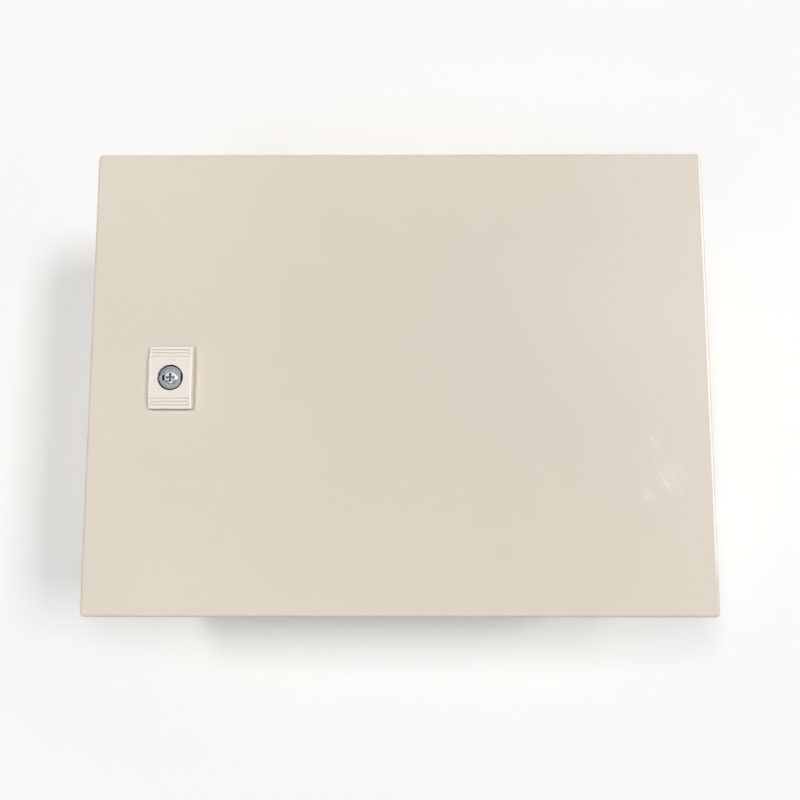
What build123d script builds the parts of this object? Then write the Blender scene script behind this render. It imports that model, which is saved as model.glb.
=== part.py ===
from build123d import *
import os
from math import cos, hypot, radians, sin, sqrt

# Steel wall enclosure: a folded body fixed to a wall, a folded door on two concealed hinges and a quarter-turn lock.
# The origin is the centre of the four wall fixings on the back face. +X is the viewer's right, +Y runs into the
# wall and +Z is up, so the door faces -Y. Sizes are millimetres.

# Overall size
width = 400.0
height = 300.0
depth = 150.0

# Body sheet and its folds
body_sheet = 1.2
body_corner = 4.0
body_bend = 2.0
rim_width = 20.0
wrap_fold = 5.0
lip_corner = 8.0
lip_bend = 1.8
weld_gap = 0.1

# Door sheet and its folds
door_sheet = 1.5
door_return = 20.0
door_corner = 3.0
door_bend = 2.5
door_opening = 120.0

# Door gasket
gasket_width = 12.0
gasket_thickness = 7.2
gasket_to_lip = 0.3
gasket_butt = 0.1
gasket_edge = 1.0

# Wall fixings
wall_hole_radius = 4.25
wall_hole_inset = 30.0

# Mounting plate on four studs
plate_inset = 37.0
plate_sheet = 2.0
plate_corner = 6.0
plate_stand_off = 12.0
plate_stud_inset = 12.5
m8_radius = 4.0
m8_across_flats = 13.0
m8_nut_height = 6.5
m8_washer_radius = 8.0
m8_washer_height = 1.6
spacer_radius = 7.0
stud_tail = 4.5

# Cable-entry plate over a window in the bottom wall
window_length = 220.0
window_corner = 6.0
entry_from_wall = 16.0
entry_from_rim = 14.0
entry_margin = 15.0
entry_sheet = 2.0
entry_gasket = 2.5
m6_radius = 3.0
m6_across_flats = 10.0
m6_nut_height = 5.0
m6_washer_radius = 6.0
m6_washer_height = 1.2

# Earth studs
body_earth_length = 18.0
body_earth_from_wall = 70.0
body_earth_up = 45.0
door_earth_length = 15.0
door_earth_from_side = 50.0
door_earth_up = 42.0

# Concealed hinges
hinge_from_end = 55.0
hinge_side_offset = 6.5
hinge_pin_radius = 2.5
hinge_leaf_height = 20.0
hinge_ear_height = 8.0
hinge_base_height = 44.0
hinge_base_left = 10.0
hinge_base_sheet = 3.0
hinge_foot_left = 7.6
hinge_foot_sheet = 2.2
hinge_web_half = 3.0
hinge_pin_head = 1.6
hinge_return_strip = 4.0
hinge_notch_margin = 1.5
hinge_screw_radius = 2.0
hinge_screw_head_radius = 3.6
hinge_screw_head = 2.6
hinge_screw_spread = 28.0

# Quarter-turn lock
lock_from_edge = 54.5
lock_height = 0.0
lock_plate_width = 27.4
lock_plate_length = 39.5
lock_plate_thickness = 5.0
lock_plate_end = 3.4
lock_plate_flat = 11.3
lock_plate_edge = 0.6
lock_groove_count = 3
lock_groove_pitch = 2.1
lock_groove_width = 1.0
lock_groove_depth = 0.8
lock_groove_side = 1.2
lock_window_radius = 8.2
lock_flange_radius = 10.2
lock_flange = 2.2
lock_seal = 1.0
lock_seal_radius = 11.2
lock_barrel_radius = 8.9
barrel_to_cam = 2.0
lock_nut_across = 24.0
lock_nut_height = 5.0
lock_screw_offset = 16.6
lock_screw_radius = 1.5
lock_screw_head_radius = 3.2
lock_screw_head = 2.2
lock_screw_bite = 2.0
rotor_radius = 7.2
rotor_shaft_radius = 5.0
rotor_face_drop = 0.9
rotor_head = 3.2
rotor_groove_depth = 0.9
rotor_rim = 1.1
rotor_lug_width = 3.6
rotor_lug_rise = 0.5
rotor_lug_inner = 5.1
rotor_slot_inner = 3.7
rotor_slot_depth = 1.5
rotor_nick_radius = 1.1
rotor_flat = 6.3
rotor_square = 7.0
drive_screw_radius = 2.5
drive_head_radius = 4.4
drive_head_height = 1.75
drive_cross_length = 5.4
drive_cross_width = 1.3
drive_cross_depth = 1.5
cam_sheet = 3.0
cam_reach = 44.0
cam_width = 14.0
cam_hub_radius = 9.5
cam_behind_rim = 0.8
cam_washer_radius = 5.5
cam_washer_height = 1.0
m5_across_flats = 8.0
m5_nut_height = 4.0

# Clearances between pieces that fit together
thread_fit = 0.05
running_fit = 0.05
slip_fit = 0.2
hole_fit = 0.4
hinge_play = 0.3
hinge_swing_clear = 1.0
hinge_eye_clear = 0.6

# Places worked out from the sizes above
front = -depth
door_inside = front + door_sheet
return_edge = front + door_return
door_gap = hypot(hinge_side_offset, door_return / 2) - door_return / 2 + hinge_swing_clear
rim_front = return_edge + door_gap
rim_back = rim_front + body_sheet
lip_front = door_inside + gasket_thickness + gasket_to_lip
back_inside = -body_sheet
floor_inside = -height / 2 + body_sheet
side_inside = width / 2 - body_sheet
mouth_width = width - 2 * rim_width
mouth_height = height - 2 * rim_width

plate_back = back_inside - plate_stand_off
plate_front = plate_back - plate_sheet
plate_nut_seat = plate_front - m8_washer_height
plate_stud_tip = plate_nut_seat - m8_nut_height - stud_tail
plate_width = width - 2 * plate_inset
plate_height = height - 2 * plate_inset

entry_width = -rim_back - entry_from_wall - entry_from_rim
window_width = entry_width - 2 * entry_margin
window_middle = -(entry_from_wall + entry_width / 2)
entry_under = floor_inside + entry_gasket
entry_top = entry_under + entry_sheet

hinge_height = height / 2 - hinge_from_end
hinge_x = width / 2 - hinge_side_offset
hinge_y = front + door_return / 2
hinge_eye_radius = hinge_side_offset - door_sheet - hinge_eye_clear

lock_x = -width / 2 + lock_from_edge
lock_z = lock_height
lock_face = front - lock_plate_thickness
seal_front = front - lock_seal
flange_front = seal_front - lock_flange
rotor_face = lock_face + rotor_face_drop
rotor_floor = rotor_face + rotor_groove_depth
rotor_seat = rotor_face + rotor_head
cam_front = rim_back + cam_behind_rim
cam_back = cam_front + cam_sheet
barrel_end = cam_front - barrel_to_cam


# Shared shapes

def prism(w, h, corner, y0, y1, x=0.0, z=0.0):
    # Rounded rectangle seen from the front, run from y0 to y1
    outline = Plane((x, y0, z), (1, 0, 0), (0, -1, 0)) * RectangleRounded(w, h, corner)
    return extrude(outline, y1 - y0, dir=(0, 1, 0))


def floor_prism(w, d, corner, z0, z1):
    # Rounded rectangle seen from above, centred on the cable window
    outline = Plane((0, window_middle, z0)) * RectangleRounded(w, d, corner)
    return extrude(outline, z1 - z0)


def rod(radius, start, end):
    axis = Vector(*end) - Vector(*start)
    return Part() + Solid.make_cylinder(radius, axis.length, Plane(start, z_dir=axis))


def tube(outer, inner, start, end):
    return rod(outer, start, end) - rod(inner, start, end)


def stud(radius, start, end):
    # Threaded stud with a chamfered tip at its end point
    body = rod(radius, start, end)
    tip = body.faces().filter_by(GeomType.PLANE).sort_by_distance(end)[0]
    return chamfer(tip.edges(), radius / 5)


def nut(across, bore, start, end, flat_along=None):
    # Hexagon with both ends chamfered at the corners, and a plain bore
    axis = Vector(*end) - Vector(*start)
    seat = Plane(start, x_dir=flat_along, z_dir=axis)
    hexagon = extrude(seat * RegularPolygon(across / 2, 6, major_radius=False), axis.length)
    corner = across / sqrt(3)
    turned = rod(corner, start, end)
    turned = chamfer(turned.edges().filter_by(GeomType.CIRCLE), (corner - across / 2) * 0.6)
    return (hexagon & turned) - rod(bore, start, end)


def pan_screw(head_radius, head, radius, seat, direction, length):
    # Pan head on one side of the seat point, shank along the direction
    run = Vector(*direction)
    base = Vector(*seat)
    cap = rod(head_radius, tuple(base), tuple(base - run * head))
    crown = cap.faces().filter_by(GeomType.PLANE).sort_by_distance(base - run * head)[0]
    cap = chamfer(crown.edges(), head / 2)
    return cap + rod(radius, tuple(base), tuple(base + run * length))


def corners(half_x, half_z):
    return [(sx * half_x, sz * half_z) for sx in (-1, 1) for sz in (-1, 1)]


# Body wrap: four walls bent from one sheet, with a narrow fold turned in all round the front

def rim_outline(corner_cut, y0, y1):
    # Edge where the front rim is let into the wrap's fold
    inset = 2 * (wrap_fold + corner_cut)
    return prism(width - inset, height - inset, body_corner, y0, y1)


def body_wrap():
    walls = prism(width, height, body_corner, rim_front, 0)
    walls = fillet(walls.faces().sort_by(Axis.Y)[0].edges(), body_bend)
    cavity = prism(width - 2 * body_sheet, height - 2 * body_sheet, body_corner - body_sheet, rim_back, 0)
    cavity = fillet(cavity.faces().sort_by(Axis.Y)[0].edges(), body_bend - body_sheet)
    wrap = walls - cavity - rim_outline(0, rim_front, rim_back)
    return wrap - floor_prism(window_length, window_width, window_corner, -height / 2, floor_inside)


# Front rim: flat frame welded flush into the fold, with the sealing lip standing forward round the mouth

def front_rim():
    rim = rim_outline(weld_gap, rim_front, rim_back)
    rim += prism(mouth_width, mouth_height, lip_corner, lip_front, rim_back)
    rim -= prism(mouth_width - 2 * body_sheet, mouth_height - 2 * body_sheet, lip_corner - body_sheet,
                 lip_front, rim_back)
    rim = fillet(rim.faces().sort_by(Axis.Y)[-1].inner_wires().edges(), lip_bend)
    for z in (hinge_height, -hinge_height):
        for x, y, at in hinge_screw_places(z):
            rim -= rod(hinge_screw_radius + slip_fit, (x, rim_front, at), (x, rim_back, at))
    return rim


# Back panel: flat sheet seam-welded inside the rear edge of the wrap

def back_panel():
    inset = 2 * (body_sheet + weld_gap)
    panel = prism(width - inset, height - inset, body_corner - inset / 2, back_inside, 0)
    for x, z in corners(width / 2 - wall_hole_inset, height / 2 - wall_hole_inset):
        panel -= rod(wall_hole_radius, (x, back_inside, z), (x, 0, z))
    return panel


# Mounting plate and the studs, spacers, washers and nuts that carry it

def stud_places():
    return corners(plate_width / 2 - plate_stud_inset, plate_height / 2 - plate_stud_inset)


def mounting_plate():
    plate = prism(plate_width, plate_height, plate_corner, plate_front, plate_back)
    for x, z in stud_places():
        plate -= rod(m8_radius + hole_fit, (x, plate_front, z), (x, plate_back, z))
    return plate


def plate_studs():
    return [stud(m8_radius, (x, back_inside, z), (x, plate_stud_tip, z)) for x, z in stud_places()]


def plate_spacers():
    return [tube(spacer_radius, m8_radius + slip_fit, (x, back_inside, z), (x, plate_back, z))
            for x, z in stud_places()]


def plate_washers():
    return [tube(m8_washer_radius, m8_radius + slip_fit, (x, plate_front, z), (x, plate_nut_seat, z))
            for x, z in stud_places()]


def plate_nuts():
    return [nut(m8_across_flats, m8_radius + thread_fit, (x, plate_nut_seat, z),
                (x, plate_nut_seat - m8_nut_height, z)) for x, z in stud_places()]


# Cable-entry plate inside the bottom wall, on a gasket, held by six studs and nuts

def entry_places():
    half_x = window_length / 2 + entry_margin / 2
    half_y = window_width / 2 + entry_margin / 2
    return [(x, window_middle + sy * half_y) for x in (-half_x, 0, half_x) for sy in (-1, 1)]


def entry_sheet_shape(z0, z1, hole):
    sheet = floor_prism(window_length + 2 * entry_margin, entry_width, window_corner, z0, z1)
    for x, y in entry_places():
        sheet -= rod(hole, (x, y, z0), (x, y, z1))
    return sheet


def gland_plate():
    return entry_sheet_shape(entry_under, entry_top, m6_radius + hole_fit)


def gland_plate_gasket():
    ring = entry_sheet_shape(floor_inside, entry_under, m6_radius + slip_fit)
    return ring - floor_prism(window_length, window_width, window_corner, floor_inside, entry_under)


def gland_plate_studs():
    tip = entry_top + m6_nut_height + stud_tail
    return [stud(m6_radius, (x, y, floor_inside), (x, y, tip)) for x, y in entry_places()]


def gland_plate_nuts():
    return [nut(m6_across_flats, m6_radius + thread_fit, (x, y, entry_top), (x, y, entry_top + m6_nut_height))
            for x, y in entry_places()]


# Earth studs welded inside the body wall and inside the door, each with a washer and a nut

def on_wall(reach):
    return (side_inside - reach, -body_earth_from_wall, -height / 2 + body_earth_up)


def body_earth_stud():
    return stud(m8_radius, on_wall(0), on_wall(body_earth_length))


def body_earth_washer():
    return tube(m8_washer_radius, m8_radius + slip_fit, on_wall(0), on_wall(m8_washer_height))


def body_earth_nut():
    return nut(m8_across_flats, m8_radius + thread_fit, on_wall(m8_washer_height),
               on_wall(m8_washer_height + m8_nut_height))


def on_door(reach):
    return (width / 2 - door_earth_from_side, door_inside + reach, -height / 2 + door_earth_up)


def door_earth_stud():
    return stud(m6_radius, on_door(0), on_door(door_earth_length))


def door_earth_washer():
    return tube(m6_washer_radius, m6_radius + slip_fit, on_door(0), on_door(m6_washer_height))


def door_earth_nut():
    return nut(m6_across_flats, m6_radius + thread_fit, on_door(m6_washer_height),
               on_door(m6_washer_height + m6_nut_height))


# Concealed hinges: a bracket screwed to the rim, a pin, and a leaf welded inside the door

def hinge_profile(points, z0, z1):
    # Outline given relative to the pin axis, run along the pin
    outline = Plane((hinge_x, hinge_y, z0)) * make_face(Polyline(*points, close=True))
    return extrude(outline, z1 - z0)


def hinge_screw_places(z):
    x = hinge_x - hinge_base_left / 2
    return [(x, rim_front, z + side * hinge_screw_spread / 2) for side in (-1, 1)]


def along_pin(z):
    return (hinge_x, hinge_y, z)


def hinge_bracket(z):
    to_rim = rim_front - hinge_y
    swing = radians(door_opening)
    strip = door_return / 2 - hinge_return_strip
    neck_right = hinge_side_offset * cos(swing) + strip * sin(swing) - hinge_swing_clear
    base_front = to_rim - hinge_base_sheet
    half = hinge_base_height / 2
    bracket = hinge_profile([(-hinge_base_left, base_front), (neck_right, base_front), (neck_right, to_rim),
                             (-hinge_base_left, to_rim)], z - half, z + half)
    gap = hinge_leaf_height / 2 + hinge_play
    for z0, z1 in ((z + gap, z + gap + hinge_ear_height), (z - gap - hinge_ear_height, z - gap)):
        bracket += rod(hinge_eye_radius, along_pin(z0), along_pin(z1))
        bracket += hinge_profile([(-hinge_eye_radius * 0.97, 0), (neck_right, 0), (neck_right, to_rim),
                                  (-hinge_base_left, to_rim), (-hinge_base_left, base_front)], z0, z1)
    bracket -= rod(hinge_pin_radius + running_fit, along_pin(z - half), along_pin(z + half))
    for x, y, at in hinge_screw_places(z):
        bracket -= rod(hinge_screw_radius + thread_fit, (x, y, at), (x, y - 2 * hinge_base_sheet, at))
    return bracket


def hinge_pin(z):
    ends = hinge_leaf_height / 2 + hinge_play + hinge_ear_height
    pin = rod(hinge_pin_radius, along_pin(z - ends), along_pin(z + ends))
    head = rod(hinge_eye_radius * 0.85, along_pin(z + ends), along_pin(z + ends + hinge_pin_head))
    return pin + chamfer(head.edges().group_by(Axis.Z)[-1], hinge_pin_head / 2)


def hinge_leaf(z):
    z0 = z - hinge_leaf_height / 2
    z1 = z + hinge_leaf_height / 2
    panel = door_inside - hinge_y
    foot_right = hinge_side_offset - door_bend - slip_fit
    leaf = rod(hinge_eye_radius, along_pin(z0), along_pin(z1))
    leaf += hinge_profile([(-hinge_web_half, panel), (hinge_web_half, panel), (hinge_web_half, 0),
                           (-hinge_web_half, 0)], z0, z1)
    leaf += hinge_profile([(-hinge_foot_left, panel), (foot_right, panel), (foot_right, panel + hinge_foot_sheet),
                           (-hinge_foot_left, panel + hinge_foot_sheet)], z0, z1)
    return leaf - rod(hinge_pin_radius + running_fit, along_pin(z0), along_pin(z1))


def hinge_screws():
    length = body_sheet + 1.5 * hinge_base_sheet
    return [pan_screw(hinge_screw_head_radius, hinge_screw_head, hinge_screw_radius, (x, rim_back, at), (0, -1, 0),
                      length) for z in (hinge_height, -hinge_height) for x, y, at in hinge_screw_places(z)]


# Door: a sheet folded back on all four sides, notched at the hinges and pierced for the lock

def door_panel():
    tray = prism(width, height, door_corner, front, return_edge)
    tray = fillet(tray.faces().sort_by(Axis.Y)[0].edges(), door_bend)
    hollow = prism(width - 2 * door_sheet, height - 2 * door_sheet, door_corner - door_sheet, door_inside, return_edge)
    hollow = fillet(hollow.faces().sort_by(Axis.Y)[0].edges(), door_bend - door_sheet)
    tray -= hollow
    notch = hinge_base_height + 2 * hinge_notch_margin
    for z in (hinge_height, -hinge_height):
        tray -= Pos(width / 2, return_edge, z) * Box(4 * door_sheet, 2 * (door_return - hinge_return_strip), notch)
    tray -= rod(lock_barrel_radius + hole_fit, on_lock(front), on_lock(door_inside))
    for side in (-1, 1):
        tray -= rod(lock_screw_radius + hole_fit, on_lock(front, side * lock_screw_offset),
                    on_lock(door_inside, side * lock_screw_offset))
    return tray


# Gasket: four lengths of foam strip bonded inside the door, butted at the corners, that meet the lip

def door_gasket():
    line_x = (mouth_width - body_sheet) / 2
    line_z = (mouth_height - body_sheet) / 2
    across = 2 * line_x + gasket_width
    between = 2 * line_z - gasket_width - 2 * gasket_butt
    middle = door_inside + gasket_thickness / 2
    strips = [Pos(0, middle, side * line_z) * Box(across, gasket_thickness, gasket_width) for side in (-1, 1)]
    strips += [Pos(side * line_x, middle, 0) * Box(gasket_width, gasket_thickness, between) for side in (-1, 1)]
    return [chamfer(strip.faces().sort_by(Axis.Y)[-1].edges(), gasket_edge) for strip in strips]


# Lock: moulded plate in front, die-cast housing through the door, seal, nut and two plate screws

def on_lock(y, up=0.0):
    return (lock_x, y, lock_z + up)


def plate_surface(z):
    # Height of the arched plate above the door at a distance z from its middle
    run = lock_plate_length / 2 - lock_plate_flat
    drop = lock_plate_thickness - lock_plate_end
    arch = (run * run + drop * drop) / (2 * drop)
    past = max(abs(z) - lock_plate_flat, 0.0)
    return lock_plate_thickness - arch + sqrt(arch * arch - past * past)


def lock_plate():
    end = lock_plate_length / 2
    flat = lock_plate_flat
    middle = (flat + end) / 2
    top = lock_plate_thickness
    side_view = Plane((lock_x - lock_plate_width / 2, front, lock_z), (0, 0, 1), (1, 0, 0))
    edge = [Line((-end, 0), (end, 0)), Line((end, 0), (end, lock_plate_end)),
            ThreePointArc((end, lock_plate_end), (middle, plate_surface(middle)), (flat, top)),
            Line((flat, top), (-flat, top)),
            ThreePointArc((-flat, top), (-middle, plate_surface(middle)), (-end, lock_plate_end)),
            Line((-end, lock_plate_end), (-end, 0))]
    plate = extrude(side_view * make_face(edge), lock_plate_width)
    plate = fillet(plate.edges().filter_by(Axis.Y), lock_plate_edge)
    for row in range(lock_groove_count):
        offset = flat + (row + 1) * lock_groove_pitch
        for side in (-1, 1):
            bottom = plate_surface(offset) - lock_groove_depth
            plate -= Pos(lock_x, front - bottom - lock_plate_end / 2, lock_z + side * offset) * Box(
                lock_plate_width - 2 * lock_groove_side, lock_plate_end, lock_groove_width)
    plate -= rod(lock_window_radius, on_lock(front), on_lock(lock_face))
    plate -= rod(lock_seal_radius + slip_fit, on_lock(front), on_lock(flange_front))
    for side in (-1, 1):
        up = side * lock_screw_offset
        plate -= rod(lock_screw_radius + thread_fit, on_lock(front, up), on_lock(front - lock_screw_bite - slip_fit, up))
    return plate


def lock_plate_screws():
    length = door_sheet + lock_screw_bite
    return [pan_screw(lock_screw_head_radius, lock_screw_head, lock_screw_radius,
                      on_lock(door_inside, side * lock_screw_offset), (0, -1, 0), length) for side in (-1, 1)]


def lock_seal_ring():
    return tube(lock_seal_radius, lock_barrel_radius + slip_fit, on_lock(seal_front), on_lock(front))


def lock_housing():
    housing = rod(lock_flange_radius, on_lock(flange_front), on_lock(seal_front))
    housing += rod(lock_barrel_radius, on_lock(seal_front), on_lock(barrel_end))
    housing -= rod(rotor_radius + running_fit, on_lock(flange_front), on_lock(rotor_seat))
    return housing - rod(rotor_shaft_radius + running_fit, on_lock(rotor_seat), on_lock(barrel_end))


def lock_nut():
    return nut(lock_nut_across, lock_barrel_radius + thread_fit, on_lock(door_inside),
               on_lock(door_inside + lock_nut_height), (1, 0, 0))


# Lock rotor: turned by hand tool from the front, with the cam clamped on its squared end

def lock_rotor():
    rotor = rod(rotor_radius, on_lock(rotor_face), on_lock(rotor_seat))
    rotor -= tube(rotor_radius - rotor_rim, 0.1, on_lock(rotor_face), on_lock(rotor_floor))
    lug = rotor_radius - slip_fit - rotor_lug_inner
    lug_top = rotor_face - rotor_lug_rise
    rotor += Pos(lock_x - rotor_lug_inner - lug / 2, (lug_top + rotor_floor) / 2, lock_z) * Box(
        lug, rotor_floor - lug_top, rotor_lug_width)
    slot = rotor_lug_inner - rotor_slot_inner
    rotor -= Pos(lock_x - rotor_slot_inner - slot / 2, rotor_floor, lock_z) * Box(
        slot, 2 * rotor_slot_depth, rotor_lug_width)
    nick_x = lock_x - rotor_radius
    nick_z = lock_z + rotor_lug_width / 2
    rotor -= rod(rotor_nick_radius, (nick_x, lug_top, nick_z), (nick_x, rotor_floor, nick_z))
    rotor -= Pos(lock_x + rotor_flat + rotor_radius, rotor_face, lock_z) * Box(
        2 * rotor_radius, 2 * rotor_groove_depth, 4 * rotor_radius)
    rotor += rod(rotor_shaft_radius, on_lock(rotor_seat), on_lock(cam_front))
    tail = cam_sheet - slip_fit
    rotor += Pos(lock_x, cam_front + tail / 2, lock_z) * Box(rotor_square, tail, rotor_square)
    return rotor - rod(drive_screw_radius + thread_fit, on_lock(rotor_face), on_lock(cam_front + tail))


def lock_drive_screw():
    length = cam_back + cam_washer_height + m5_nut_height + 1.0 - rotor_floor
    screw = pan_screw(drive_head_radius, drive_head_height, drive_screw_radius, on_lock(rotor_floor), (0, 1, 0), length)
    crown = rotor_floor - drive_head_height
    for x, z in ((drive_cross_length, drive_cross_width), (drive_cross_width, drive_cross_length)):
        screw -= Pos(lock_x, crown, lock_z) * Box(x, 2 * drive_cross_depth, z)
    return screw


def lock_cam():
    outline = Circle(cam_hub_radius)
    outline += Pos(0, -(cam_reach - cam_width / 2) / 2) * Rectangle(cam_width, cam_reach - cam_width / 2)
    outline += Pos(0, -(cam_reach - cam_width / 2)) * Circle(cam_width / 2)
    outline -= Rectangle(rotor_square + 2 * thread_fit, rotor_square + 2 * thread_fit)
    return extrude(Plane(on_lock(cam_front), (1, 0, 0), (0, -1, 0)) * outline, cam_sheet, dir=(0, 1, 0))


def cam_washer():
    return tube(cam_washer_radius, drive_screw_radius + slip_fit, on_lock(cam_back),
                on_lock(cam_back + cam_washer_height))


def cam_nut():
    seat = cam_back + cam_washer_height
    return nut(m5_across_flats, drive_screw_radius + thread_fit, on_lock(seat), on_lock(seat + m5_nut_height))


pieces = {
    "body_wrap": body_wrap(),
    "front_rim": front_rim(),
    "back_panel": back_panel(),
    "mounting_plate": mounting_plate(),
    "plate_studs": plate_studs(),
    "plate_spacers": plate_spacers(),
    "plate_washers": plate_washers(),
    "plate_nuts": plate_nuts(),
    "gland_plate": gland_plate(),
    "gland_plate_gasket": gland_plate_gasket(),
    "gland_plate_studs": gland_plate_studs(),
    "gland_plate_nuts": gland_plate_nuts(),
    "body_earth_stud": body_earth_stud(),
    "body_earth_washer": body_earth_washer(),
    "body_earth_nut": body_earth_nut(),
    "upper_hinge_bracket": hinge_bracket(hinge_height),
    "lower_hinge_bracket": hinge_bracket(-hinge_height),
    "upper_hinge_pin": hinge_pin(hinge_height),
    "lower_hinge_pin": hinge_pin(-hinge_height),
    "hinge_screws": hinge_screws(),
    "door_panel": door_panel(),
    "door_gasket": door_gasket(),
    "upper_hinge_leaf": hinge_leaf(hinge_height),
    "lower_hinge_leaf": hinge_leaf(-hinge_height),
    "door_earth_stud": door_earth_stud(),
    "door_earth_washer": door_earth_washer(),
    "door_earth_nut": door_earth_nut(),
    "lock_plate": lock_plate(),
    "lock_plate_screws": lock_plate_screws(),
    "lock_seal": lock_seal_ring(),
    "lock_housing": lock_housing(),
    "lock_nut": lock_nut(),
    "lock_rotor": lock_rotor(),
    "lock_drive_screw": lock_drive_screw(),
    "lock_cam": lock_cam(),
    "cam_washer": cam_washer(),
    "cam_nut": cam_nut(),
}

os.makedirs("parts", exist_ok=True)
for name, shape in pieces.items():
    if isinstance(shape, list):
        shape = Compound(children=[solid for item in shape for solid in item.solids()])
    export_step(shape, f"parts/{name}.step")
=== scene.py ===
import math

import bmesh
import bpy
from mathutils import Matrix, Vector


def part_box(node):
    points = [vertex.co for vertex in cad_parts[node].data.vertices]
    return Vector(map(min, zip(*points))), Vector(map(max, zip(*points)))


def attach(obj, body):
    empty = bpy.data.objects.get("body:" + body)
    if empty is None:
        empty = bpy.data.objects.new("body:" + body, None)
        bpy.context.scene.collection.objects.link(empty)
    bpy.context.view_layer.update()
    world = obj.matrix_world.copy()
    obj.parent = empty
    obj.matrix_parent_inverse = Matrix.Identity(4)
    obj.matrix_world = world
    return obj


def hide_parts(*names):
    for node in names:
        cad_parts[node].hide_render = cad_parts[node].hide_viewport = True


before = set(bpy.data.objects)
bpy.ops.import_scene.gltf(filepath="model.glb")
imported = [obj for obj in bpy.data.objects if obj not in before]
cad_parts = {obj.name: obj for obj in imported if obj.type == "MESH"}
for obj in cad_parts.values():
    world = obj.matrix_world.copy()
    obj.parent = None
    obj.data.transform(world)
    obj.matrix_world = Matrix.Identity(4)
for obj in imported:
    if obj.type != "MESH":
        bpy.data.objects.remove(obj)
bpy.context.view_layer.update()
mm = 0.001


# Body wrap
# The four walls of the enclosure, bent from one 1.2 mm steel sheet, with a narrow fold turned in round the
# front. The seams are welded and ground, and the body is coated all over with a textured beige powder.

def choose(piece):
    # Only this piece selected and active
    bpy.ops.object.select_all(action="DESELECT")
    piece.select_set(True)
    bpy.context.view_layer.objects.active = piece


def settle(name):
    # The piece just added takes its name, and its place goes into its mesh
    piece = bpy.context.object
    bpy.ops.object.transform_apply(location=True, rotation=True, scale=True)
    piece.name = name
    piece.data.name = name
    return piece


def blank(name, low, high):
    # Block of stock between two corners
    bpy.ops.object.select_all(action="DESELECT")
    bpy.ops.mesh.primitive_cube_add(size=1, location=(Vector(low) + Vector(high)) / 2)
    bpy.context.object.scale = Vector(high) - Vector(low)
    return settle(name)


def pick(piece, kind, wanted):
    # Edit mode, with only the faces or edges that pass the test selected
    choose(piece)
    bpy.ops.object.mode_set(mode="EDIT")
    bpy.ops.mesh.select_mode(type=kind)
    bpy.ops.mesh.select_all(action="DESELECT")
    mesh = bmesh.from_edit_mesh(piece.data)
    mesh.normal_update()
    for part in (mesh.faces if kind == "FACE" else mesh.edges):
        part.select_set(bool(wanted(part)))
    bmesh.update_edit_mesh(piece.data)


def done_editing():
    bpy.ops.object.mode_set(mode="OBJECT")


def round_edges(piece, wanted, radius, steps):
    pick(piece, "EDGE", wanted)
    bpy.ops.mesh.bevel(offset=radius, offset_type="OFFSET", segments=steps, affect="EDGES", profile=0.5)
    done_editing()


def runs_along(axis):
    # Test for edges that run along one axis
    return lambda edge: abs((edge.verts[0].co - edge.verts[1].co).normalized()[axis]) > 0.999


def lies_at(axis, place):
    # Test for edges that lie in one plane
    return lambda edge: all(abs(corner.co[axis] - place) < 1e-5 for corner in edge.verts)


def work(piece, kind, **settings):
    # One modifier, set and applied at once
    step = piece.modifiers.new(kind.lower(), kind)
    for name, value in settings.items():
        setattr(step, name, value)
    bpy.context.view_layer.objects.active = piece
    bpy.ops.object.modifier_apply(modifier=step.name)


def cut(piece, tool, how="DIFFERENCE"):
    # The tool is used up by the cut
    work(piece, "BOOLEAN", operation=how, solver="EXACT", object=tool)
    bpy.ops.object.select_all(action="DESELECT")
    tool.select_set(True)
    bpy.ops.object.delete()


def clean(piece, smallest=0.004 * mm):
    # Slivers and loose edges left by a cut are taken away
    pick(piece, "FACE", lambda face: True)
    bpy.ops.mesh.remove_doubles(threshold=smallest)
    bpy.ops.mesh.dissolve_degenerate(threshold=smallest)
    bpy.ops.mesh.select_mode(type="VERT")
    bpy.ops.mesh.select_all(action="SELECT")
    bpy.ops.mesh.delete_loose()
    done_editing()


def soften(piece, width=0, steps=2, limit=30):
    # Broken edges where a width is given, then shading that keeps flats flat
    if width:
        clean(piece)
        work(piece, "TRIANGULATE", min_vertices=5)
        work(piece, "BEVEL", width=width, segments=steps, limit_method="ANGLE",
             angle_limit=math.radians(limit))
        clean(piece)
    choose(piece)
    bpy.ops.object.shade_smooth_by_angle(angle=math.radians(40))
    work(piece, "WEIGHTED_NORMAL", mode="FACE_AREA", keep_sharp=True)


def rounded_block(name, low, high, axis, radius, steps=6):
    # Stock with the four edges along one axis rounded
    stock = blank(name, low, high)
    round_edges(stock, runs_along(axis), radius, steps)
    return stock


def fit(piece, body, material, cad_node):
    # The piece takes its finish, stands for its node and moves with its body
    piece.data.materials.clear()
    piece.data.materials.append(material)
    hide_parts(cad_node)
    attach(piece, body)


def finish(name):
    # A new finish, with its shader and the piece's own coordinates
    made = bpy.data.materials.new(name)
    made.use_nodes = True
    tree = made.node_tree
    shader = tree.nodes["Principled BSDF"]
    place = tree.nodes.new("ShaderNodeTexCoord").outputs["Object"]
    return made, tree, shader, place


def plug(tree, socket, value):
    # A socket takes a link or a constant
    if isinstance(value, bpy.types.NodeSocket):
        tree.links.new(value, socket)
    else:
        socket.default_value = value


def feed(tree, made, **inputs):
    # A node's inputs, by name
    for label, value in inputs.items():
        plug(tree, made.inputs[label.replace("_", " ")], value)
    return made


def node(tree, kind, **inputs):
    return feed(tree, tree.nodes.new("ShaderNode" + kind), **inputs)


def sums(tree, operation, *values):
    made = tree.nodes.new("ShaderNodeMath")
    made.operation = operation
    for socket, value in zip(made.inputs, values):
        plug(tree, socket, value)
    return made.outputs[0]


def both(tree, first, second):
    # Two masks, or a mask and its strength, multiplied
    return sums(tree, "MULTIPLY", first, second)


def either(tree, first, second):
    # The stronger of two masks
    return sums(tree, "MAXIMUM", first, second)


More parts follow.
